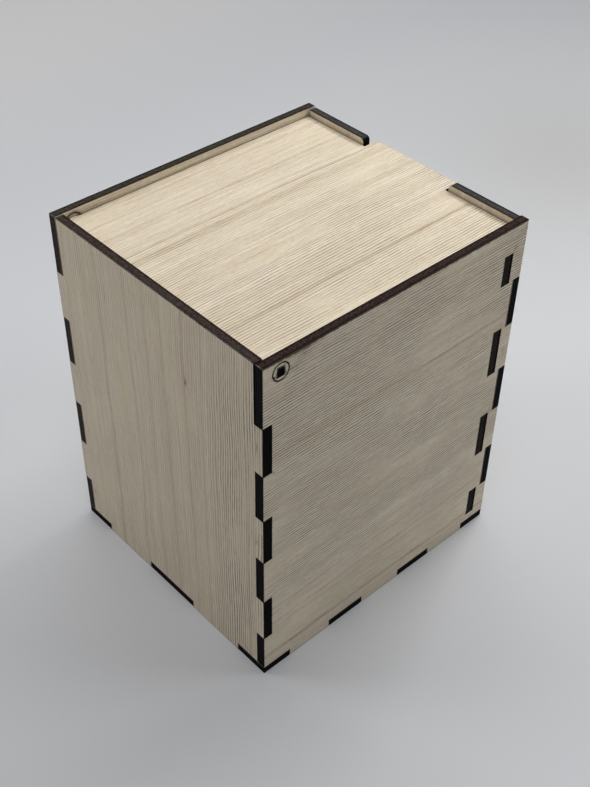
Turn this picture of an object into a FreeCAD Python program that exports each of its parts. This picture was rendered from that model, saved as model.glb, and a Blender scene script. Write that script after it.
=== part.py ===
"""A small box of laser-cut plywood: finger-jointed walls, an inner panel and a lid that swings on two discs.

The origin is the centre of the footprint, on the face that the box rests on. +X is across the box, +Y points
from the notched front wall to the rear wall beside the pivot, and +Z is up. Sizes are in millimetres.
"""

import FreeCAD, Part
import math
import os

# The sheet, and the outside of the box.
sheet = 2.7             # thickness of every panel
joint_depth = 3.0       # depth of every corner notch, cut for a sheet of full thickness
box_width = 88.7        # across, over both side walls
box_depth = 97.0        # front to rear, over both end walls
wall_height = 117.8     # side walls, from the resting face to the rim
rear_rim_drop = 0.1     # the rear wall's rim lies this far below the side walls' rims
front_rim_drop = 0.5    # the front wall's rim lies this far below the side walls' rims
rim_end_inset = 0.15    # at the ends of those rims, above the last tongue

# The upright corner joints: equal steps, end wall and side wall in turn, under a plain rim.
corner_steps = 7
plain_rim = 2.8         # height above the last step
joint_play = 0.05       # on each flank of a tongue or a foot

# The feet of the walls, which pass through the bottom panel and reach the resting face.
side_feet = 3
side_foot = 16.4        # length of one foot of a side wall
side_foot_gap = 13.8    # between two feet of a side wall
end_feet = 2
end_foot = 21.8         # length of one foot of an end wall
end_foot_gap = 21.5     # between two feet of an end wall

# The lid and the pivot near its rear edge.
lid_recess = 2.45       # from the side walls' rims down to the lid
lid_side_gap = 0.3      # to each side wall
lid_front_gap = 0.3     # to the front wall
lid_swing_gap = 0.25    # between the lid's turning rear edge and the rear wall
pivot_inset = 3.2       # from the rear wall's inner face to the pivot axis
ear_width = 2.25        # of the square ear, along the lid's edge
ear_play = 0.1          # on each side of an ear of full thickness in its disc
disc_web = 0.5          # wood left between the corner of the disc's hole and its rim
disc_gap = 0.15         # running gap round the disc, the width of the cut

# The finger tab of the lid, and the notch that it lies in.
notch_width = 34.6
notch_corner = 1.2      # radius of the notch's upper corners
tab_side_gap = 0.9      # to each end of the notch
tab_floor_gap = 0.3     # to the floor of the notch
tab_reach = 2.5         # past the front wall's outer face
tab_corner = 1.5        # radius of the tab's outer corners

# The inner front panel, whose tenons pass through the side walls.
pocket_depth = 2.8      # between the front wall and the inner panel
tenon_rise = 3.0        # from the panel's lower edge to its lowest tenon
tenon_fall = 3.95       # from the panel's upper edge to its highest tenon
slot_slack = 0.65       # open part of each slot, on its front side

half_width = box_width / 2
half_depth = box_depth / 2
inner_half_width = half_width - sheet
inner_half_depth = half_depth - sheet
joint_half_width = half_width - joint_depth
joint_half_depth = half_depth - joint_depth
corner_step = (wall_height - plain_rim) / corner_steps

lid_top = wall_height - lid_recess
lid_bottom = lid_top - sheet
pivot_y = inner_half_depth - pivot_inset
pivot_z = (lid_top + lid_bottom) / 2
socket_width = ear_width + 2 * ear_play
socket_height = joint_depth + 2 * ear_play
disc_radius = math.hypot(socket_width, socket_height) / 2 + disc_web

inner_panel_front = -inner_half_depth + pocket_depth
inner_panel_rear = inner_panel_front + sheet


def block(low, high):
    """A rectangular solid between its lowest and its highest corner."""
    size = [b - a for a, b in zip(low, high)]
    return Part.makeBox(*size, FreeCAD.Vector(*low))


def joined(pieces):
    """Several touching solids as one, with the seams between them removed."""
    return pieces[0].multiFuse(pieces[1:]).removeSplitter()


def cylinder_across(radius, x_low, x_high):
    """A cylinder on the pivot axis."""
    start = FreeCAD.Vector(x_low, pivot_y, pivot_z)
    return Part.makeCylinder(radius, x_high - x_low, start, FreeCAD.Vector(1, 0, 0))


def mirrored(shape):
    """The same piece for the other side of the box."""
    return shape.mirror(FreeCAD.Vector(0, 0, 0), FreeCAD.Vector(1, 0, 0))


def foot_spans(count, length, gap):
    """Where the feet along one edge start and end, centred on the edge."""
    pitch = length + gap
    first = -pitch * (count - 1) / 2
    centres = [first + pitch * n for n in range(count)]
    return [(c - length / 2, c + length / 2) for c in centres]


def tongue_spans():
    """Heights of the end walls' tongues: every second step of the corner joint, from the second one."""
    return [(corner_step * n, corner_step * (n + 1)) for n in range(1, corner_steps, 2)]


def tenon_spans():
    """Heights of the inner panel's tenons: the steps between the tongues, shorter at both ends."""
    spans = [[corner_step * n, corner_step * (n + 1)] for n in range(0, corner_steps, 2)]
    spans[0][0] = sheet + tenon_rise
    spans[-1][1] = lid_bottom - tenon_fall
    return spans


def rounded(shape, radius, belongs):
    """The shape with the chosen edges rounded; belongs picks each edge by its middle."""
    edges = [e for e in shape.Edges if belongs(e.CenterOfMass)]
    return shape.makeFillet(radius, edges)


def bottom_panel():
    """The base: a full rectangle with a notch for each foot of the four walls."""
    panel = block((-half_width, -half_depth, 0), (half_width, half_depth, sheet))
    notches = []
    for side in (-1, 1):
        for low, high in foot_spans(side_feet, side_foot, side_foot_gap):
            x_span = sorted((side * joint_half_width, side * half_width))
            notches.append(block((x_span[0], low, 0), (x_span[1], high, sheet)))
        for low, high in foot_spans(end_feet, end_foot, end_foot_gap):
            y_span = sorted((side * joint_half_depth, side * half_depth))
            notches.append(block((low, y_span[0], 0), (high, y_span[1], sheet)))
    return panel.cut(notches)


def end_wall(y_low, rim):
    """A wall between the side walls, with its feet and its tongues. Its front face is at y_low."""
    y_high = y_low + sheet
    rim_start = tongue_spans()[-1][1]
    rim_half_width = joint_half_width - rim_end_inset
    pieces = [
        block((-joint_half_width, y_low, sheet), (joint_half_width, y_high, rim_start)),
        block((-rim_half_width, y_low, rim_start), (rim_half_width, y_high, rim)),
    ]
    for low, high in foot_spans(end_feet, end_foot, end_foot_gap):
        pieces.append(block((low + joint_play, y_low, 0), (high - joint_play, y_high, sheet)))
    for low, high in tongue_spans():
        low_corner = (-half_width, y_low, low + joint_play)
        high_corner = (half_width, y_high, high - joint_play)
        pieces.append(block(low_corner, high_corner))
    return joined(pieces)


def front_wall():
    """The end wall with the notch for the lid's finger tab."""
    rim = wall_height - front_rim_drop
    wall = end_wall(-half_depth, rim)
    low = (-notch_width / 2, -half_depth, lid_bottom - tab_floor_gap)
    high = (notch_width / 2, -inner_half_depth, rim)
    wall = wall.cut(block(low, high))

    def upper_notch_corner(middle):
        at_rim = abs(middle.z - rim) < joint_play
        return at_rim and abs(abs(middle.x) - notch_width / 2) < joint_play

    return rounded(wall, notch_corner, upper_notch_corner)


def rear_wall():
    """The end wall beside the pivot."""
    return end_wall(inner_half_depth, wall_height - rear_rim_drop)


def side_wall_left():
    """The side wall with the gaps for the tongues, the slots for the tenons and the round hole."""
    wall_low = (-half_width, -half_depth, sheet)
    wall_high = (-inner_half_width, half_depth, wall_height)
    pieces = [block(wall_low, wall_high)]
    for low, high in foot_spans(side_feet, side_foot, side_foot_gap):
        foot_low = (-half_width, low + joint_play, 0)
        foot_high = (-inner_half_width, high - joint_play, sheet)
        pieces.append(block(foot_low, foot_high))
    wall = joined(pieces)

    cuts = [cylinder_across(disc_radius + disc_gap, -half_width, -inner_half_width)]
    for low, high in tongue_spans():
        cuts.append(block((-half_width, -half_depth, low), (-inner_half_width, -joint_half_depth, high)))
        cuts.append(block((-half_width, joint_half_depth, low), (-inner_half_width, half_depth, high)))
    for low, high in tenon_spans():
        slot_low = (-half_width, inner_panel_front - slot_slack, low)
        slot_high = (-inner_half_width, inner_panel_rear, high)
        cuts.append(block(slot_low, slot_high))
    return wall.cut(cuts)


def inner_front_panel():
    """The panel behind the front wall, with four tenons at each end, on which the lid comes to rest."""
    low = (-joint_half_width, inner_panel_front, sheet)
    high = (joint_half_width, inner_panel_rear, lid_bottom)
    pieces = [block(low, high)]
    for z_low, z_high in tenon_spans():
        tenon_low = (-half_width, inner_panel_front, z_low + joint_play)
        tenon_high = (half_width, inner_panel_rear, z_high - joint_play)
        pieces.append(block(tenon_low, tenon_high))
    return joined(pieces)


def lid():
    """The lid: one flat panel with two ears at the pivot and the finger tab at the front."""
    rear_reach = math.sqrt((pivot_inset - lid_swing_gap) ** 2 - (sheet / 2) ** 2)
    lid_half_width = inner_half_width - lid_side_gap
    tab_half_width = notch_width / 2 - tab_side_gap
    tab_end = -half_depth - tab_reach
    front_edge = -inner_half_depth + lid_front_gap
    panel = block((-lid_half_width, front_edge, lid_bottom), (lid_half_width, pivot_y + rear_reach, lid_top))
    ears = block(
        (-half_width, pivot_y - ear_width / 2, lid_bottom),
        (half_width, pivot_y + ear_width / 2, lid_top),
    )
    tab = block((-tab_half_width, tab_end, lid_bottom), (tab_half_width, front_edge, lid_top))
    whole = joined([panel, ears, tab])

    def outer_tab_corner(middle):
        at_end = abs(middle.y - tab_end) < joint_play
        return at_end and abs(abs(middle.x) - tab_half_width) < joint_play

    return rounded(whole, tab_corner, outer_tab_corner)


def pivot_disc_left():
    """The disc that turns in the side wall, with the hole that the lid's ear fits."""
    disc = cylinder_across(disc_radius, -half_width, -inner_half_width)
    socket = block(
        (-half_width, pivot_y - socket_width / 2, pivot_z - socket_height / 2),
        (-inner_half_width, pivot_y + socket_width / 2, pivot_z + socket_height / 2),
    )
    return disc.cut(socket)


def main():
    left_wall = side_wall_left()
    left_disc = pivot_disc_left()
    parts = {
        "bottom_panel": bottom_panel(),
        "front_wall": front_wall(),
        "rear_wall": rear_wall(),
        "side_wall_left": left_wall,
        "side_wall_right": mirrored(left_wall),
        "inner_front_panel": inner_front_panel(),
        "lid": lid(),
        "pivot_disc_left": left_disc,
        "pivot_disc_right": mirrored(left_disc),
    }
    os.makedirs("parts", exist_ok=True)
    for name, shape in parts.items():
        shape.exportStep(f"parts/{name}.step")


main()
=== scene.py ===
"""The looks of a small plywood box: veneered panels with burnt, laser-cut edges, and a lid on two discs."""

import math

import bmesh
import bpy
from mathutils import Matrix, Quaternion, Vector

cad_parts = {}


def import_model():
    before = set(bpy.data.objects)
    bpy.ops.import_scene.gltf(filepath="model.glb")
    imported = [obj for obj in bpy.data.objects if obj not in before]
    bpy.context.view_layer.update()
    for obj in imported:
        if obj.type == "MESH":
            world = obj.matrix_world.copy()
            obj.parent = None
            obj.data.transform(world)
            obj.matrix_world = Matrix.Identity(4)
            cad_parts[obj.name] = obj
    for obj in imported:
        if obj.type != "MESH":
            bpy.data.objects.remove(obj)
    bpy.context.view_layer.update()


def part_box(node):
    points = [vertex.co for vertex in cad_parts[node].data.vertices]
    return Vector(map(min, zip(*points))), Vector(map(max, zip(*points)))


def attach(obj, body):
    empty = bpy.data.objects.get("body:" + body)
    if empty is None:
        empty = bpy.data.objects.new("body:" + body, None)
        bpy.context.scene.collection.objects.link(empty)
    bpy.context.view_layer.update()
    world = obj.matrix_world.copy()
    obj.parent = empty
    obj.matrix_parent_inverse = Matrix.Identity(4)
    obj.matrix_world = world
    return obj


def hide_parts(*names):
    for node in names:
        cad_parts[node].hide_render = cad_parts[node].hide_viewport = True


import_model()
bpy.ops.object.select_all(action="DESELECT")

mm = 0.001
X, Y, Z = 0, 1, 2

# Sizes that the frame gives.
wall_low, wall_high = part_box("side_wall_left")
lid_low, lid_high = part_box("lid")
disc_low, disc_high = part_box("pivot_disc_left")
inner_low, inner_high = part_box("inner_front_panel")
sheet = wall_high.x - wall_low.x
half_width = -wall_low.x
half_depth = wall_high.y
wall_height = wall_high.z
pivot_y = (disc_low.y + disc_high.y) / 2
pivot_z = (disc_low.z + disc_high.z) / 2
disc_radius = (disc_high.z - disc_low.z) / 2

# The joints of the panels, as they are cut.
joint_depth = 3.0 * mm
corner_steps = 7
plain_rim = 2.8 * mm
joint_play = 0.05 * mm
rim_end_inset = 0.15 * mm
side_feet = 3
side_foot = 16.4 * mm
side_foot_gap = 13.8 * mm
end_feet = 2
end_foot = 21.8 * mm
end_foot_gap = 21.5 * mm
tenon_rise = 3.0 * mm
tenon_fall = 3.95 * mm
slot_slack = 0.65 * mm
disc_gap = 0.15 * mm
ear_width = 2.25 * mm
ear_play = 0.1 * mm
lid_side_gap = 0.3 * mm
lid_front_gap = 0.3 * mm
notch_width = 34.6 * mm
notch_corner = 1.2 * mm
tab_side_gap = 0.9 * mm
tab_floor_gap = 0.3 * mm
tab_corner = 1.5 * mm
inner_half_width = half_width - sheet
inner_half_depth = half_depth - sheet
joint_half_width = half_width - joint_depth
joint_half_depth = half_depth - joint_depth
corner_step = (wall_height - plain_rim) / corner_steps

# The edges that the laser leaves.
hair = 0.001 * mm           # two points nearer than this are one
arris = 0.12 * mm           # rounding of a panel's cut edges
disc_arris = 0.05 * mm      # rounding of a disc's cut edges
scorch_width = 0.4 * mm     # darkened border of a panel's faces along its cut edges
disc_scorch_width = 0.14 * mm  # the same on a disc's faces
hole_margin = 0.55 * mm     # between the round hole and the square that it is drawn in
hole_points = 64            # round a disc and its hole
corner_points = 8           # round a rounded corner
nick_depth = 0.38 * mm      # in the disc's rim, where the cut began
nick_angle = -20            # in degrees, from the rear
nick_reach = 7              # to each side of that angle
flat_angle = 1              # edges that turn less than this, in degrees, are dissolved
smooth_angle = 20           # edges that turn less than this are shaded smooth
arris_angle = 50            # edges that turn more than this are rounded


# Modelling of flat panels.

def thin_axis(node):
    """The axis along a panel's thickness."""
    low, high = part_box(node)
    size = high - low
    return min(range(3), key=lambda axis: size[axis])


def middle(item):
    """The middle of a face or an edge."""
    if isinstance(item, bmesh.types.BMEdge):
        return (item.verts[0].co + item.verts[1].co) / 2
    return item.calc_center_median()


def pick(kind, belongs):
    """Selects, in edit mode, the points, edges or faces that pass a test, and nothing else."""
    bpy.ops.mesh.select_mode(type=kind)
    bpy.ops.mesh.select_all(action="DESELECT")
    shape = bmesh.from_edit_mesh(bpy.context.edit_object.data)
    items = {"VERT": shape.verts, "EDGE": shape.edges, "FACE": shape.faces}[kind]
    for item in items:
        if belongs(item):
            item.select_set(True)
    bmesh.update_edit_mesh(bpy.context.edit_object.data)


def begin_panel(node):
    """A flat face in the middle of a panel's thickness, as large as the panel, in edit mode."""
    low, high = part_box(node)
    size = high - low
    thin = thin_axis(node)
    turn = ((0, math.pi / 2, 0), (math.pi / 2, 0, 0), (0, 0, 0))[thin]
    extent = ((size.z, size.y, 1), (size.x, size.z, 1), (size.x, size.y, 1))[thin]
    bpy.ops.mesh.primitive_plane_add(size=1, location=(low + high) / 2, rotation=turn)
    piece = bpy.context.object
    piece.scale = extent
    bpy.ops.object.transform_apply(location=True, rotation=True, scale=True)
    bpy.ops.object.mode_set(mode="EDIT")
    return piece


def bisect_sheet(axis, value):
    """Draws one straight line across the whole flat face."""
    point = Vector((0, 0, 0))
    direction = Vector((0, 0, 0))
    point[axis] = value
    direction[axis] = 1
    bpy.ops.mesh.select_all(action="SELECT")
    bpy.ops.mesh.bisect(plane_co=point, plane_no=direction, threshold=hair)


def cut_away(thin, rectangles):
    """Takes rectangles out of a flat face. Each is two opposite corners, in the two axes of the sheet."""
    axes = [axis for axis in (X, Y, Z) if axis != thin]
    for corners in rectangles:
        for axis, ends in zip(axes, zip(*corners)):
            for value in ends:
                bisect_sheet(axis, value)

    def is_waste(face):
        place = middle(face)
        return any(
            all(low[n] < place[axis] < high[n] for n, axis in enumerate(axes))
            for low, high in rectangles
        )

    pick("FACE", is_waste)
    bpy.ops.mesh.delete(type="FACE")
    bpy.ops.mesh.select_all(action="SELECT")
    bpy.ops.mesh.dissolve_limited(angle_limit=math.radians(flat_angle))


def round_corners(radius, belongs):
    """Rounds the chosen points of a flat outline."""
    pick("VERT", belongs)
    bpy.ops.mesh.bevel(offset=radius, segments=corner_points, affect="VERTICES")


def mark_scorch(piece):
    """Writes how near each point is to a cut edge: 1 on the outline, 0 inside the border."""
    inside = set()
    for face in piece.data.polygons:
        if face.select:
            inside.update(face.vertices)
    values = [float(n not in inside) for n in range(len(piece.data.vertices))]
    scorch = piece.data.attributes.new("scorch", "FLOAT", "POINT")
    scorch.data.foreach_set("value", values)


def apply_modifier(piece, kind, **settings):
    """Adds a modifier with its settings and applies it."""
    modifier = piece.modifiers.new(kind, kind)
    for name, value in settings.items():
        setattr(modifier, name, value)
    bpy.ops.object.modifier_apply(modifier=modifier.name)


def end_panel(piece, border, rounding, looks):
    """Gives a flat outline its scorched border, its thickness, its rounded arrises and its two finishes."""
    bpy.ops.mesh.select_mode(type="FACE")
    bpy.ops.mesh.select_all(action="SELECT")
    bpy.ops.mesh.inset(thickness=border, use_boundary=True, use_even_offset=True)
    bpy.ops.object.mode_set(mode="OBJECT")
    mark_scorch(piece)
    for look in looks:
        piece.data.materials.append(look)
    apply_modifier(piece, "SOLIDIFY", thickness=sheet, offset=0, material_offset_rim=1)
    sharp = math.radians(arris_angle)
    apply_modifier(piece, "BEVEL", width=rounding, segments=2, limit_method="ANGLE", angle_limit=sharp)
    bpy.ops.object.shade_smooth_by_angle(angle=math.radians(smooth_angle))
    piece.select_set(False)


def hand_over(piece, name, body, node):
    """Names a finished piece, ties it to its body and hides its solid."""
    piece.name = name
    piece.data.name = name
    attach(piece, body)
    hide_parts(node)


# Where the joints lie.

def foot_spans(count, length, gap):
    """Where the feet along one edge start and end, centred on the edge."""
    pitch = length + gap
    first = -pitch * (count - 1) / 2
    centres = [first + pitch * n for n in range(count)]
    return [(c - length / 2, c + length / 2) for c in centres]


def tongue_spans():
    """Heights of the end walls' tongues: every second step of the corner joint, from the second one."""
    return [(corner_step * n, corner_step * (n + 1)) for n in range(1, corner_steps, 2)]


def tenon_spans():
    """Heights of the inner panel's tenons: the steps between the tongues, shorter at both ends."""
    spans = [[corner_step * n, corner_step * (n + 1)] for n in range(0, corner_steps, 2)]
    spans[0][0] = sheet + tenon_rise
    spans[-1][1] = lid_low.z - tenon_fall
    return spans


def shrunk(spans, play):
    """The same spans with some play at both ends."""
    return [(low + play, high - play) for low, high in spans]


def between(spans, low, high):
    """The spaces that the spans leave between two ends."""
    ends = [low] + [value for span in spans for value in span] + [high]
    return list(zip(ends[0::2], ends[1::2]))


# The panels.

def side_wall_outline():
    """A side wall: gaps for the tongues and the base, slots for the tenons, and the disc's round hole."""
    piece = begin_panel("side_wall_left")
    waste = []
    for low, high in tongue_spans():
        waste.append(((-half_depth, low), (-joint_half_depth, high)))
        waste.append(((joint_half_depth, low), (half_depth, high)))
    feet = shrunk(foot_spans(side_feet, side_foot, side_foot_gap), joint_play)
    for low, high in between(feet, -half_depth, half_depth):
        waste.append(((low, 0), (high, sheet)))
    for low, high in tenon_spans():
        waste.append(((inner_low.y - slot_slack, low), (inner_high.y, high)))
    reach = disc_radius + disc_gap + hole_margin
    waste.append(((pivot_y - reach, pivot_z - reach), (pivot_y + reach, pivot_z + reach)))
    cut_away(X, waste)
    bpy.ops.mesh.primitive_circle_add(
        vertices=hole_points,
        radius=disc_radius + disc_gap,
        location=((wall_low.x + wall_high.x) / 2, pivot_y, pivot_z),
        rotation=(0, math.pi / 2, 0),
    )

    def bounds_the_hole(edge):
        place = middle(edge)
        near = abs(place.y - pivot_y) < reach + hair and abs(place.z - pivot_z) < reach + hair
        return near and len(edge.link_faces) < 2

    pick("EDGE", bounds_the_hole)
    bpy.ops.mesh.fill(use_beauty=True)
    return piece


def end_wall_waste():
    """What an end wall loses beside its tongues, between its feet and at the ends of its rim."""
    waste = []
    tongues = shrunk(tongue_spans(), joint_play)
    rim_start = tongue_spans()[-1][1]
    for side in (-1, 1):
        outer, root = side * half_width, side * joint_half_width
        for low, high in between(tongues, 0, wall_height):
            waste.append(((min(outer, root), low), (max(outer, root), high)))
        rim_end = side * (joint_half_width - rim_end_inset)
        waste.append(((min(root, rim_end), rim_start), (max(root, rim_end), wall_height)))
    feet = shrunk(foot_spans(end_feet, end_foot, end_foot_gap), joint_play)
    for low, high in between(feet, -joint_half_width, joint_half_width):
        waste.append(((low, 0), (high, sheet)))
    return waste


def rear_wall_outline():
    """The end wall beside the pivot."""
    piece = begin_panel("rear_wall")
    cut_away(Y, end_wall_waste())
    return piece


def front_wall_outline():
    """The end wall with the notch for the finger tab."""
    piece = begin_panel("front_wall")
    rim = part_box("front_wall")[1].z
    notch_floor = lid_low.z - tab_floor_gap
    notch = ((-notch_width / 2, notch_floor), (notch_width / 2, rim))
    cut_away(Y, end_wall_waste() + [notch])

    def is_notch_corner(point):
        return abs(point.co.z - rim) < hair and abs(abs(point.co.x) - notch_width / 2) < hair

    round_corners(notch_corner, is_notch_corner)
    return piece


def inner_panel_outline():
    """The panel behind the front wall, with its tenons."""
    piece = begin_panel("inner_front_panel")
    waste = []
    for low, high in between(shrunk(tenon_spans(), joint_play), inner_low.z, inner_high.z):
        waste.append(((-half_width, low), (-joint_half_width, high)))
        waste.append(((joint_half_width, low), (half_width, high)))
    cut_away(Y, waste)
    return piece


def bottom_panel_outline():
    """The base, with a notch for each foot of the four walls."""
    piece = begin_panel("bottom_panel")
    waste = []
    for low, high in foot_spans(side_feet, side_foot, side_foot_gap):
        waste.append(((-half_width, low), (-joint_half_width, high)))
        waste.append(((joint_half_width, low), (half_width, high)))
    for low, high in foot_spans(end_feet, end_foot, end_foot_gap):
        waste.append(((low, -half_depth), (high, -joint_half_depth)))
        waste.append(((low, joint_half_depth), (high, half_depth)))
    cut_away(Z, waste)
    return piece


def lid_outline():
    """The lid, with an ear at each end of the pivot and the finger tab."""
    piece = begin_panel("lid")
    edge = inner_half_width - lid_side_gap
    front = -inner_half_depth + lid_front_gap
    tab = notch_width / 2 - tab_side_gap
    ear = [(pivot_y - ear_width / 2, pivot_y + ear_width / 2)]
    waste = []
    for low, high in between(ear, lid_low.y, lid_high.y):
        waste.append(((-half_width, low), (-edge, high)))
        waste.append(((edge, low), (half_width, high)))
    waste.append(((-edge, lid_low.y), (-tab, front)))
    waste.append(((tab, lid_low.y), (edge, front)))
    cut_away(Z, waste)

    def is_tab_corner(point):
        return abs(point.co.y - lid_low.y) < hair and abs(abs(point.co.x) - tab) < hair

    round_corners(tab_corner, is_tab_corner)
    return piece


def disc_outline():
    """The disc in the side wall: a rectangular hole for the ear, and a nick where the cut began."""
    bpy.ops.mesh.primitive_circle_add(
        vertices=hole_points,
        radius=disc_radius,
        fill_type="NGON",
        location=((disc_low.x + disc_high.x) / 2, pivot_y, pivot_z),
        rotation=(0, math.pi / 2, 0),
    )
    piece = bpy.context.object
    bpy.ops.object.transform_apply(location=True, rotation=True, scale=True)
    bpy.ops.object.mode_set(mode="EDIT")
    half_socket_y = ear_width / 2 + ear_play
    half_socket_z = joint_depth / 2 + ear_play
    socket = (
        (pivot_y - half_socket_y, pivot_z - half_socket_z),
        (pivot_y + half_socket_y, pivot_z + half_socket_z),
    )

    def is_in_nick(point):
        angle = math.degrees(math.atan2(point.co.z - pivot_z, point.co.y - pivot_y))
        return abs(angle - nick_angle) < nick_reach

    pick("VERT", is_in_nick)
    turn = math.radians(nick_angle)
    inwards = (0, -nick_depth * math.cos(turn), -nick_depth * math.sin(turn))
    bpy.ops.transform.translate(value=inwards)
    cut_away(X, [socket])
    return piece


def mirrored_copy(piece, looks):
    """The same piece, with its own mesh and finishes, for the other side of the box."""
    piece.select_set(True)
    bpy.context.view_layer.objects.active = piece
    bpy.ops.object.duplicate()
    copy = bpy.context.object
    copy.scale.x = -1
    bpy.ops.object.transform_apply(location=True, rotation=True, scale=True)
    bpy.ops.object.mode_set(mode="EDIT")
    bpy.ops.mesh.select_all(action="SELECT")
    bpy.ops.mesh.normals_make_consistent(inside=False)
    bpy.ops.object.mode_set(mode="OBJECT")
    for index, look in enumerate(looks):
        copy.data.materials[index] = look
    copy.select_set(False)
    return copy


# Materials.

class Number:
    """A value that changes over a surface. Each operation on it adds a node to its material."""

    def __init__(self, look, socket):
        self.look = look
        self.socket = socket

    def __add__(self, other):
        return self.look.math("ADD", self, other)

    def __radd__(self, other):
        return self.look.math("ADD", other, self)

    def __sub__(self, other):
        return self.look.math("SUBTRACT", self, other)

    def __rsub__(self, other):
        return self.look.math("SUBTRACT", other, self)

    def __mul__(self, other):
        return self.look.math("MULTIPLY", self, other)

    def __rmul__(self, other):
        return self.look.math("MULTIPLY", other, self)

    def __truediv__(self, other):
        return self.look.math("DIVIDE", self, other)

    def __rtruediv__(self, other):
        return self.look.math("DIVIDE", other, self)

    def __pow__(self, other):
        return self.look.math("POWER", self, other)

    def __rpow__(self, other):
        return self.look.math("POWER", other, self)


class Look:
    """One material, and the ways of adding nodes to it."""

    def __init__(self, name, roughness, specular):
        self.material = bpy.data.materials.new(name)
        self.material.use_nodes = True
        self.nodes = self.material.node_tree.nodes
        self.links = self.material.node_tree.links
        self.shader = self.nodes["Principled BSDF"]
        self.shader.inputs["Roughness"].default_value = roughness
        self.shader.inputs["Specular IOR Level"].default_value = specular

    def node(self, kind, settings, inputs, output=0):
        """Adds a node: its settings first, then the values or links of its sockets."""
        node = self.nodes.new(kind)
        for name, value in settings.items():
            if name == "stops":
                self.set_stops(node.color_ramp, value)
            else:
                setattr(node, name, value)
        for name, value in inputs.items():
            self.fill(node.inputs[name], value)
        return Number(self, node.outputs[output])

    def set_stops(self, ramp, stops):
        """Gives a colour ramp its stops, each a place and a colour."""
        while len(ramp.elements) < len(stops):
            ramp.elements.new(1)
        for element, (place, colour) in zip(ramp.elements, stops):
            element.position = place
            element.color = colour

    def fill(self, socket, value):
        """Links a socket, or sets it."""
        if isinstance(value, Number):
            self.links.new(value.socket, socket)
        else:
            socket.default_value = value

    def math(self, operation, *values):
        return self.node("ShaderNodeMath", {"operation": operation}, dict(enumerate(values)))

    def mix(self, share, first, second):
        """Goes from the first colour to the second as the share goes from 0 to 1."""
        settings = {"data_type": "RGBA", "clamp_factor": True}
        return self.node("ShaderNodeMix", settings, {0: share, 6: first, 7: second}, 2)

    def rise(self, value, start, end):
        """Goes smoothly from 0 where the value is at its start to 1 where it is at its end."""
        inputs = {"Value": value, "From Min": start, "From Max": end}
        return self.node("ShaderNodeMapRange", {"interpolation_type": "SMOOTHSTEP"}, inputs)

    def place(self):
        """The three coordinates of a point on the piece, in millimetres."""
        point = self.node("ShaderNodeTexCoord", {}, {}, "Object")
        inputs = {0: point, "Scale": 1 / mm}
        point = self.node("ShaderNodeVectorMath", {"operation": "SCALE"}, inputs)
        return [self.node("ShaderNodeSeparateXYZ", {}, {0: point}, axis) for axis in (X, Y, Z)]

    def noise(self, x, y, z, detail=2.0, roughness=0.5):
        """Smooth noise at a point, from 0 to 1 about a middle of one half."""
        point = self.node("ShaderNodeCombineXYZ", {}, {X: x, Y: y, Z: z})
        inputs = {"Vector": point, "Scale": 1.0, "Detail": detail, "Roughness": roughness}
        return self.node("ShaderNodeTexNoise", {}, inputs)

    def attribute(self, name):
        return self.node("ShaderNodeAttribute", {"attribute_name": name}, {}, "Fac")

    def colour_by(self, value, stops):
        return self.node("ShaderNodeValToRGB", {"stops": stops}, {0: value})

    def bump(self, height, depth):
        """Raises the surface by up to the depth, in metres, where the height is 1."""
        inputs = {"Height": height, "Distance": depth, "Strength": 1.0}
        return self.node("ShaderNodeBump", {}, inputs)

    def finish(self, **sockets):
        """Feeds the shader and gives the material."""
        for name, value in sockets.items():
            self.fill(self.shader.inputs[name.replace("_", " ")], value)
        return self.material


def paint(red, green, blue):
    """A colour given by its picture values, from 0 to 255, as a shader takes it."""
    def linear(value):
        share = value / 255
        return share / 12.92 if share <= 0.04045 else ((share + 0.055) / 1.055) ** 2.4

    return (linear(red), linear(green), linear(blue), 1.0)


# Colours of the wood, from its late rings to its palest fibres, of its stains, and of painted shade and
# highlights.
ring_brown = paint(172, 147, 120)
late_wood = paint(201, 184, 159)
mid_wood = paint(218, 204, 181)
pale_wood = paint(228, 217, 196)
white_fibre = paint(240, 233, 217)
groove_brown = paint(150, 132, 108)
rose_tint = paint(208, 188, 168)
straw_tint = paint(216, 206, 168)
knot_brown = paint(112, 88, 66)
smoke_brown = paint(112, 90, 66)
tan_scorch = paint(120, 98, 76)
dark_scorch = paint(44, 35, 31)
ring_scorch = paint(20, 15, 11)
ring_haze = paint(74, 54, 36)
lid_shadow = paint(150, 126, 92)
fringe_brown = paint(76, 63, 50)
lip_black = paint(10, 8, 7)
painted_highlight_grey = paint(150, 146, 142)

# The figure of the wood: how wide and how long each kind of blotch is, in millimetres.
drift_size = 26, 90
wave_size = 5, 24
band_size = 7.0, 260
line_size = 1.3, 120
long_fibre_size = 0.24, 10.0
short_fibre_size = 0.24, 1.6
fading_size = 6, 22
stagger_size = 3.0, 45
rib_patch_size = 16, 30
rib_break_size = 0.8, 4.0
rose_size = 5, 60
straw_size = 3, 50
rib_pitch = 0.9
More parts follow.
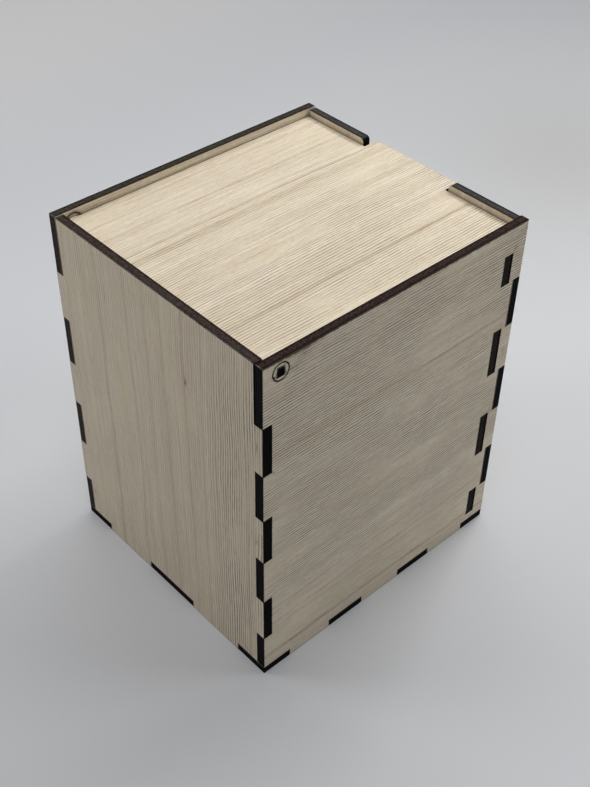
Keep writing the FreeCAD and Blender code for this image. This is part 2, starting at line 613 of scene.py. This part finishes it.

# Sizes of the char, the stains and the painted shade, in millimetres.
ragged_size = 0.8           # of the noise that frays every stain
fringe_depth = 0.5          # of the char that eats into a face below its rim
fringe_scallop = 2.2        # length of one of its scallops
fringe_peak = 6             # from the pivot forwards to where it is deepest
fringe_spread = 8           # half width of that deeper part
kerf_line = 0.3             # half width of the black line along a disc's cut
kerf_haze = 0.8             # half width of the brown haze on the other face
smoke_and_shade_rise = 0.1            # from the lid up to the middle of the band of smoke and painted shade
smoke_and_shade_height = 0.8          # half height of that band
burnt_reach, pale_reach = 0.3, 1.0      # from the darker face, where its shade ends and the paler starts
mark_size = 0.35            # of the marks on a cut edge
mottle_size = 0.9           # of its mottling, along the edge
mottle_depth = 0.6          # and across it
speck_size = 0.3            # of its specks
glue_width = 0.1            # half width of the line between two plies
rim_shade_start, rim_shade_end = 0.3, 0.08  # below a rim, where an edge turns into the rim's shade
lip_start, lip_end = 0.6, 0.25          # from the faces, where a rim turns into its black lip

# How far the surface rises, in metres.
rib_depth = 0.045 * mm
char_depth = 0.06 * mm


def bell(value, centre, width):
    """A smooth hump, 1 at its centre, that has fallen to a quarter one width away."""
    away = (value - centre) / width
    return 1 / (away * away + 1) ** 2


def spot(s, t, mark):
    """A smooth spot. A mark starts with its place and then its half length, along and across the grain."""
    away_along = (s - mark[0]) / mark[2]
    away_across = (t - mark[1]) / mark[3]
    return 1 / (away_along * away_along + away_across * away_across + 1) ** 2


def figure(look, s, t, seed, size, detail=2.0, roughness=0.5):
    """Noise drawn out along the grain, in blotches of a width and a length."""
    width, length = size
    return look.noise(t / width, s / length, seed, detail, roughness)


def bent_grain(look, s, t, depth, waviness, knot):
    """The place across the grain, once the bends of the grain are followed."""
    drift = figure(look, s, t, depth, drift_size) - 0.5
    wave = figure(look, s, t, depth + 3, wave_size) - 0.5
    bent = t + drift * (3.0 * waviness) + wave * (0.5 * waviness)
    if knot:
        bent = bent + spot(s, t, knot) * (t - knot[1]) * 1.5
    return bent


def wood_tone(look, s, t, depth, streaks, bands, lines, fibres):
    """How pale the wood is at a point, from 0 to 1. A streak is its place, its width and its strength."""
    wide = figure(look, s, t, depth + 7, band_size, detail=3.0, roughness=0.6) - 0.5
    narrow = figure(look, s, t, depth + 11, line_size, detail=3.0, roughness=0.65) - 0.5
    long_fibres = figure(look, s, t, depth + 17, long_fibre_size, roughness=0.6) - 0.5
    short_fibres = figure(look, s, t, depth + 19, short_fibre_size, detail=1.0) - 0.5
    tone = 0.56 + wide * bands + narrow * lines + (long_fibres + short_fibres * 0.6) * fibres
    fade = figure(look, s, t, depth + 41, fading_size) * 1.2 + 0.4
    for centre, width, strength in streaks:
        tone = tone - bell(t, centre, width) * fade * strength
    return tone


def broken_ribs(look, s, t, depth, strength):
    """The height of the fine ribs, from 0 to 1, and their strength, which breaks up along the grain."""
    stagger = figure(look, s, t, depth + 31, stagger_size, detail=1.0)
    rib = look.math("SINE", (t / rib_pitch + stagger) * (2 * math.pi)) * 0.5 + 0.5
    patches = figure(look, s, t, depth + 29, rib_patch_size)
    breaks = figure(look, s, t, depth + 33, rib_break_size, detail=1.0)
    strength = look.rise(patches, 0.25, 0.6) * strength
    return rib, strength * (look.rise(breaks, 0.3, 0.6) * 0.5 + 0.5)


def tinted(look, colour, s, t, depth):
    """The colour with faint rose and straw tints in long patches."""
    rose = figure(look, s, t, depth + 37, rose_size)
    straw = figure(look, s, t, depth + 43, straw_size)
    colour = look.mix(look.rise(rose, 0.52, 0.74) * 0.22, colour, rose_tint)
    return look.mix(look.rise(straw, 0.52, 0.74) * 0.35, colour, straw_tint)


def char_fringe(look, place, rim, ragged, seed):
    """Where char has eaten into a side wall's outer face below its rim: a little deeper beside the disc."""
    fall = rim - place[Z]
    scallops = look.noise(place[Y] / fringe_scallop, seed, 0, detail=3.0, roughness=0.65)
    beside_disc = bell(place[Y], pivot_y / mm - fringe_peak, fringe_spread)
    reach = (scallops * 1.7 + beside_disc * 0.9 + 0.2) * fringe_depth + (ragged - 0.5) * 0.9
    return 1 - look.rise(fall - reach, -0.3, 0.3)


def with_kerf_scorch(look, colour, place, darker):
    """The colour beside a disc's round cut: a black line on the burnt face, a brown haze on the other."""
    across = place[Y] - pivot_y / mm
    up = place[Z] - pivot_z / mm
    away = look.math("SQRT", across * across + up * up)
    middle_of_cut = (disc_radius + disc_gap / 2) / mm
    colour = look.mix(bell(away, middle_of_cut, kerf_line) * darker, colour, ring_scorch)
    return look.mix(bell(away, middle_of_cut, kerf_haze) * (1 - darker) * 0.9, colour, ring_haze)


def lid_smoke_and_shade(place, darker):
    """A band on the walls' inner faces, just above the lid: partly smoke, partly painted shade where the lid
    meets the walls.
    """
    return bell(place[Z], lid_high.z / mm + smoke_and_shade_rise, smoke_and_shade_height) * (1 - darker)


def veneer(
    name, along, across, burnt_face, seed, streaks=(), ribs=0.6, shade=0.0, bands=0.4, lines=0.5,
    fibres=0.7, waviness=1.0, knot=None, marks=(), fringe=None, beside_disc=False, lid_band=0.0,
):
    """The outer ply: grain along one axis and fine ribs, with stains, scorched borders, smoky marks and
    painted shade and highlight.

    burnt_face is where, along the panel's thickness, its darker face lies. ribs is the strength of the ribs,
    or an axis, two places along it and the strength at each. bands, lines and fibres are the strengths of
    the figure, from its widest to its finest, and shade makes it all paler. knot and marks are spots, and
    each mark ends with its strength. fringe is the height of a rim whose char reaches down the darker face.
    beside_disc draws the scorch of the disc's cut. lid_band is the strength of the band above the lid, partly
    smoke and partly painted shade."""
    look = Look(name, roughness=0.62, specular=0.22)
    place = look.place()
    thin = 3 - along - across
    depth = place[thin] * 0.5 + seed
    t = bent_grain(look, place[along], place[across], depth, waviness, knot)
    s = place[along]

    tone = wood_tone(look, s, t, depth, streaks, bands, lines, fibres) + shade
    stops = [(0.0, ring_brown), (0.28, late_wood), (0.52, mid_wood), (0.74, pale_wood), (1.0, white_fibre)]
    colour = tinted(look, look.colour_by(tone, stops), s, t, depth)
    from_burnt = look.math("ABSOLUTE", place[thin] - burnt_face)
    darker = 1 - look.rise(from_burnt, burnt_reach, pale_reach)
    if not isinstance(ribs, float):
        axis, start, end, least, most = ribs
        ribs = look.rise(place[axis], start, end) * (most - least) + least
    if lid_band:
        ribs = ribs * (darker * 0.75 + 0.25)
    rib, strength = broken_ribs(look, s, t, depth, ribs)
    # Darker grooves and paler ridges: partly the wood's own colour, partly painted shade in the grooves and
    # painted highlight on the ridges.
    colour = look.mix((1 - rib) ** 1.5 * strength * 0.6, colour, groove_brown)
    colour = look.mix(rib ** 3 * strength * 0.42, colour, white_fibre)

    x, y, z = [value / ragged_size for value in place]
    ragged = look.noise(x, y, z + seed, detail=3.0, roughness=0.6)
    if knot:
        colour = look.mix(spot(s, place[across], knot) * ragged * 1.5, colour, knot_brown)
    for mark in marks:
        share = spot(s, place[across], mark) * look.rise(ragged, 0.25, 0.7)
        colour = look.mix(share * mark[4], colour, smoke_brown)

    scorch = look.attribute("scorch")
    tan = scorch ** 1.6 * look.rise(ragged, 0.2, 0.75) * (darker * 0.5 + 0.2)
    dark = look.rise(scorch + (ragged - 0.5) * 0.6, 0.5, 0.8) * (darker * 0.6 + 0.35)
    colour = look.mix(tan, colour, tan_scorch)
    colour = look.mix(dark, colour, dark_scorch)
    # A band of smoke and painted shade on the inner faces, just above the lid.
    if lid_band:
        colour = look.mix(lid_smoke_and_shade(place, darker) * lid_band, colour, lid_shadow)
    if beside_disc:
        colour = with_kerf_scorch(look, colour, place, darker)
    if fringe:
        char = char_fringe(look, place, fringe, ragged, seed) * darker
        colour = look.mix(char * 0.95, colour, fringe_brown)

    height = rib * strength + tone * 0.4
    return look.finish(Base_Color=colour, Normal=look.bump(height, rib_depth))


def burnt_edge(name, thin, centre, seed, char, rim):
    """A cut edge: char over three plies. char is the dark and the pale shade of the ends and of the rim."""
    look = Look(name, roughness=0.8, specular=0.06)
    place = look.place()
    half_sheet = sheet / mm / 2
    from_middle = look.math("ABSOLUTE", place[thin] - centre)
    one, other = [place[axis] for axis in (X, Y, Z) if axis != thin]
    through = place[thin]
    marks = look.noise(one / mark_size, other / mark_size, seed)
    layer = through / mottle_depth + seed
    mottle = look.noise(one / mottle_size, other / mottle_size, layer, detail=4.0, roughness=0.7)
    specks = look.noise(one / speck_size, other / speck_size, through / speck_size + seed, detail=1.0)
    glue = bell(from_middle, half_sheet / 2, glue_width)
    end_dark, end_pale, rim_dark, rim_pale = char
    upper = look.rise(place[Z], rim - rim_shade_start, rim - rim_shade_end)
    dark = look.mix(upper, end_dark, rim_dark)
    pale = look.mix(upper, end_pale, rim_pale)
    share = look.rise(mottle, 0.3, 0.7) * 0.7 + look.rise(specks, 0.6, 0.8) * 0.5 - glue * 0.3
    colour = look.mix(share, dark, pale)
    lip = look.rise(from_middle + (mottle - 0.5) * 0.6, half_sheet - lip_start, half_sheet - lip_end)
    colour = look.mix(lip * upper * 0.85, colour, lip_black)
    # A painted highlight along the arris where the rim meets the rear end.
    corner = bell(place[Y] + place[Z], half_depth / mm + rim - arris / mm, arris / mm)
    colour = look.mix(corner * look.rise(specks, 0.35, 0.6) * 0.6, colour, painted_highlight_grey)
    height = marks * 0.6 + mottle * 0.4 - glue * 0.3
    return look.finish(Base_Color=colour, Normal=look.bump(height, char_depth))


def looks_of(node, seed, along, across, burnt_side, char, **grain):
    """The two finishes of one panel: its veneer, and its cut edges. burnt_side is its darker face, 0 or 1."""
    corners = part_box(node)
    thin = thin_axis(node)
    low, high = corners[0][thin] / mm, corners[1][thin] / mm
    rim = corners[1].z / mm
    face = veneer(node + "_veneer", along, across, (low, high)[burnt_side], seed, **grain)
    edge = burnt_edge(node + "_burnt_edge", thin, (low + high) / 2, seed, char, rim)
    return face, edge


# Shades of each panel's char: the dark and the pale of its ends, and of its rim.
rear_char = paint(2, 1, 1), paint(14, 11, 10), paint(40, 31, 28), paint(86, 73, 68)
front_char = paint(6, 5, 5), paint(24, 20, 19), paint(46, 42, 42), paint(86, 84, 84)
left_char = paint(8, 6, 8), paint(36, 32, 36), paint(20, 12, 11), paint(80, 62, 56)
right_char = paint(38, 35, 33), paint(74, 69, 63), paint(36, 31, 27), paint(82, 76, 66)
inner_char = paint(24, 19, 18), paint(56, 48, 46), paint(24, 19, 18), paint(56, 48, 46)
lid_char = paint(3, 2, 2), paint(20, 16, 15), paint(3, 2, 2), paint(20, 16, 15)
base_char = paint(8, 6, 7), paint(26, 23, 24), paint(8, 6, 7), paint(26, 23, 24)

# What each panel's grain shows, in millimetres: its streaks, as wood_tone takes them, and its spots.
rear_streaks = [
    (38.5, 0.8, 0.10),
    (24, 0.9, 0.22),
    (10.8, 0.7, 0.18),
    (2.5, 0.9, 0.18),
    (-4.4, 0.6, 0.20),
    (-9.5, 0.5, 0.14),
    (-13.8, 0.5, 0.22),
    (-20.7, 0.5, 0.22),
    (-22.5, 0.4, -0.16),
    (-31, 0.5, -0.18),
    (-36.5, 0.4, -0.20),
    (-38, 0.5, 0.20),
    (-41.5, 0.4, -0.20),
]
rear_knot = (94.4, -13.8, 1.6, 0.55)
rear_marks = [
    (91, -42, 2.4, 0.35, 0.8),
    (56, -41.8, 0.8, 0.6, 0.6),
    (62.5, 41.7, 1.6, 0.7, 0.5),
    (12.7, 40, 0.9, 0.9, 0.5),
    (30.8, 39.4, 0.5, 0.4, 0.6),
    (19, -16.2, 0.7, 0.3, 0.6),
    (44, -32.6, 0.9, 0.3, 0.5),
]
lid_streaks = [
    (-26, 2.0, 0.16),
    (-25.5, 0.25, 0.34),
    (-17, 0.6, 0.12),
    (-13.6, 0.25, -0.22),
    (-4, 1.6, 0.12),
    (-1.7, 0.25, 0.30),
    (-0.9, 0.3, -0.18),
    (12.5, 2.6, 0.14),
    (15.8, 0.3, 0.36),
    (21.4, 0.35, 0.16),
    (25.8, 0.5, 0.18),
    (33, 0.7, 0.12),
]
side_streaks = [
    (113, 0.5, 0.14),
    (106, 0.6, 0.12),
    (86.8, 0.6, 0.36),
    (63.6, 0.4, 0.22),
    (51, 0.6, 0.14),
    (40, 1.2, 0.14),
    (35, 0.3, -0.16),
    (27.4, 0.3, 0.24),
    (21, 0.5, 0.24),
    (18.4, 0.4, 0.22),
    (7.6, 0.7, 0.45),
]
side_marks = [
    (38.3, 113, 2.0, 0.7, 0.9),
    (35.5, 115.6, 4.0, 1.4, 0.5),
    (-44.4, 110.2, 0.9, 0.9, 0.9),
    (44.8, 81.6, 0.8, 0.5, 0.8),
    (-46.3, 72.5, 0.9, 1.8, 0.5),
    (-44.3, 50, 0.6, 0.8, 0.8),
    (-46, 114.5, 1.6, 2.0, 0.5),
]


# The pieces.

def build_box():
    """Models every panel and ties it to the frame."""
    side = {
        "streaks": side_streaks, "marks": side_marks, "ribs": (Z, 8, 56, 0.9, 1.8),
        "bands": 0.25, "lines": 0.6, "fibres": 1.2, "shade": 0.08,
        "fringe": wall_height / mm, "beside_disc": True, "lid_band": 0.2,
    }
    rear = {
        "streaks": rear_streaks, "marks": rear_marks, "knot": rear_knot, "ribs": (X, -18, -34, 0.6, 1.8),
        "bands": 0.2, "lines": 0.5, "fibres": 0.7, "waviness": 1.8,
    }
    lid = {
        "streaks": lid_streaks, "ribs": (X, 30, -12, 0.5, 1.3), "bands": 0.5, "lines": 0.8, "fibres": 0.95,
    }
    disc = {"ribs": 0.3, "shade": 0.12, "beside_disc": True}
    left_looks = looks_of("side_wall_left", 4.0, Y, Z, 0, left_char, **side)
    right_looks = looks_of("side_wall_right", 9.0, Y, Z, 1, right_char, **side)
    rear_looks = looks_of("rear_wall", 2.0, Z, X, 1, rear_char, **rear)
    front_looks = looks_of("front_wall", 6.0, Z, X, 0, front_char, streaks=rear_streaks, lid_band=0.35)
    inner_looks = looks_of("inner_front_panel", 13.0, Z, X, 0, inner_char)
    bottom_looks = looks_of("bottom_panel", 15.0, Y, X, 0, base_char)
    lid_looks = looks_of("lid", 1.0, Y, X, 0, lid_char, **lid)
    left_disc_looks = looks_of("pivot_disc_left", 21.0, Y, Z, 0, left_char, **disc)
    right_disc_looks = looks_of("pivot_disc_right", 23.0, Y, Z, 1, left_char, **disc)

    left_wall = side_wall_outline()
    end_panel(left_wall, scorch_width, arris, left_looks)
    right_wall = mirrored_copy(left_wall, right_looks)
    hand_over(left_wall, "left_wall", "box", "side_wall_left")
    hand_over(right_wall, "right_wall", "box", "side_wall_right")

    left_disc = disc_outline()
    end_panel(left_disc, disc_scorch_width, disc_arris, left_disc_looks)
    right_disc = mirrored_copy(left_disc, right_disc_looks)
    hand_over(left_disc, "left_disc", "lid", "pivot_disc_left")
    hand_over(right_disc, "right_disc", "lid", "pivot_disc_right")

    panels = [
        (rear_wall_outline, rear_looks, "rear_panel", "box", "rear_wall", "end_plywood"),
        (front_wall_outline, front_looks, "front_panel", "box", "front_wall", "end_plywood"),
        (inner_panel_outline, inner_looks, "inner_panel", "box", "inner_front_panel", "end_plywood"),
        (bottom_panel_outline, bottom_looks, "base_panel", "box", "bottom_panel", "base_plywood"),
        (lid_outline, lid_looks, "lid_panel", "lid", "lid", "lid_plywood"),
    ]
    for outline, looks, name, body, node, slot in panels:
        piece = outline()
        end_panel(piece, scorch_width, arris, looks)
        hand_over(piece, name, body, node)


build_box()


# The floor, the lamps and the camera.

floor_size = 8.0                        # in metres
floor_colour = paint(207, 209, 213)
backdrop_colour = paint(190, 190, 190)
painted_light_floor_colour = paint(222, 221, 221)
cloud_size = 300                        # of the floor's uneven tone, in millimetres
painted_shade_patch = (80, -260, 110, 110)       # painted shade under the key lamp: place and half size, in millimetres
pale_start, pale_end = 230, 420         # where painted light makes the floor paler, along X, in millimetres
fade_start, fade_end = 440, 1100        # from the box, where the floor fades into the background
world_strength = 0.05

camera_place = Vector((-0.20501, 0.18744, 0.29634))
camera_aim = Vector((-0.00301, -0.0005, 0.055))
camera_roll = 0.985                     # in degrees
camera_lens = 54.65                     # in millimetres
camera_clip = 0.01                      # nothing nearer than this shows

# Places and widths are in metres, and powers in watts.
lamps = {
    "key_lamp": {"place": (0.017, -0.295, 0.38), "aim": (0, 0, 0.08), "width": 0.12, "power": 0.65},
    "overhead_lamp": {"place": (-0.3, 0.3, 1.5), "aim": (0, 0, 0), "width": 0.6, "power": 6.0},
    "far_lamp": {"place": (0.6, -0.6, 1.2), "aim": (0, 0, 0), "width": 1.2, "power": 7.0},
    "rear_side_lamp": {"place": (0.3, 0.3, 0.34), "aim": (0.04, 0.05, 0.06), "width": 0.2, "power": 0.63},
    "left_side_lamp": {"place": (-0.3, -0.3, 0.34), "aim": (-0.05, -0.04, 0.06), "width": 0.2, "power": 0.5},
}


def floor():
    """A pale floor with painted shade and light on it, that fades into the background far from the box."""
    bpy.ops.mesh.primitive_plane_add(size=floor_size)
    piece = bpy.context.object
    piece.name = "floor"
    look = Look("floor_paint", roughness=0.9, specular=0.1)
    x, y, z = look.place()
    cloud = look.noise(x / cloud_size, y / cloud_size, z)
    colour = look.mix(cloud * 0.3, floor_colour, backdrop_colour)
    # Painted shade on the floor under the key lamp.
    colour = look.mix(spot(x, y, painted_shade_patch), colour, backdrop_colour)
    # Painted light: the floor turns paler towards +X.
    colour = look.mix(look.rise(x, pale_start, pale_end), colour, painted_light_floor_colour)
    far = look.rise(look.math("SQRT", x * x + y * y), fade_start, fade_end)
    seen = look.node("ShaderNodeLightPath", {}, {}, "Is Camera Ray")
    glow = look.node("ShaderNodeEmission", {}, {"Color": backdrop_colour, "Strength": 1.0})
    lit = Number(look, look.shader.outputs[0])
    faded = look.node("ShaderNodeMixShader", {}, {0: far * seen, 1: lit, 2: glow})
    look.fill(look.nodes["Material Output"].inputs["Surface"], faded)
    piece.data.materials.append(look.finish(Base_Color=colour))
    piece.select_set(False)


def soft_lamp(name, place, aim, width, power):
    """A square lamp that faces a point."""
    bpy.ops.object.light_add(type="AREA", location=place)
    lamp = bpy.context.object
    lamp.name = name
    lamp.data.size = width
    lamp.data.energy = power
    lamp.rotation_euler = (Vector(aim) - Vector(place)).to_track_quat("-Z", "Y").to_euler()
    lamp.visible_camera = False
    lamp.select_set(False)


def world():
    """Even light from all round, behind a plain pale background."""
    surroundings = bpy.data.worlds.new("surroundings")
    bpy.context.scene.world = surroundings
    surroundings.use_nodes = True
    nodes = surroundings.node_tree.nodes
    links = surroundings.node_tree.links
    light = nodes["Background"]
    light.inputs["Color"].default_value = (1, 1, 1, 1)
    light.inputs["Strength"].default_value = world_strength
    backdrop = nodes.new("ShaderNodeBackground")
    backdrop.inputs["Color"].default_value = backdrop_colour
    seen = nodes.new("ShaderNodeLightPath")
    choice = nodes.new("ShaderNodeMixShader")
    links.new(seen.outputs["Is Camera Ray"], choice.inputs[0])
    links.new(light.outputs[0], choice.inputs[1])
    links.new(backdrop.outputs[0], choice.inputs[2])
    links.new(choice.outputs[0], nodes["World Output"].inputs["Surface"])


def camera():
    """The photograph's view."""
    bpy.ops.object.camera_add(location=camera_place)
    eye = bpy.context.object
    level = (camera_aim - camera_place).to_track_quat("-Z", "Y")
    roll = Quaternion((0, 0, 1), math.radians(camera_roll))
    eye.rotation_euler = (level @ roll).to_euler()
    eye.data.lens = camera_lens
    eye.data.clip_start = camera_clip
    bpy.context.scene.camera = eye
    eye.select_set(False)


floor()
for lamp_name, values in lamps.items():
    soft_lamp(lamp_name, **values)
world()
camera()
bpy.context.scene.view_settings.view_transform = "Standard"
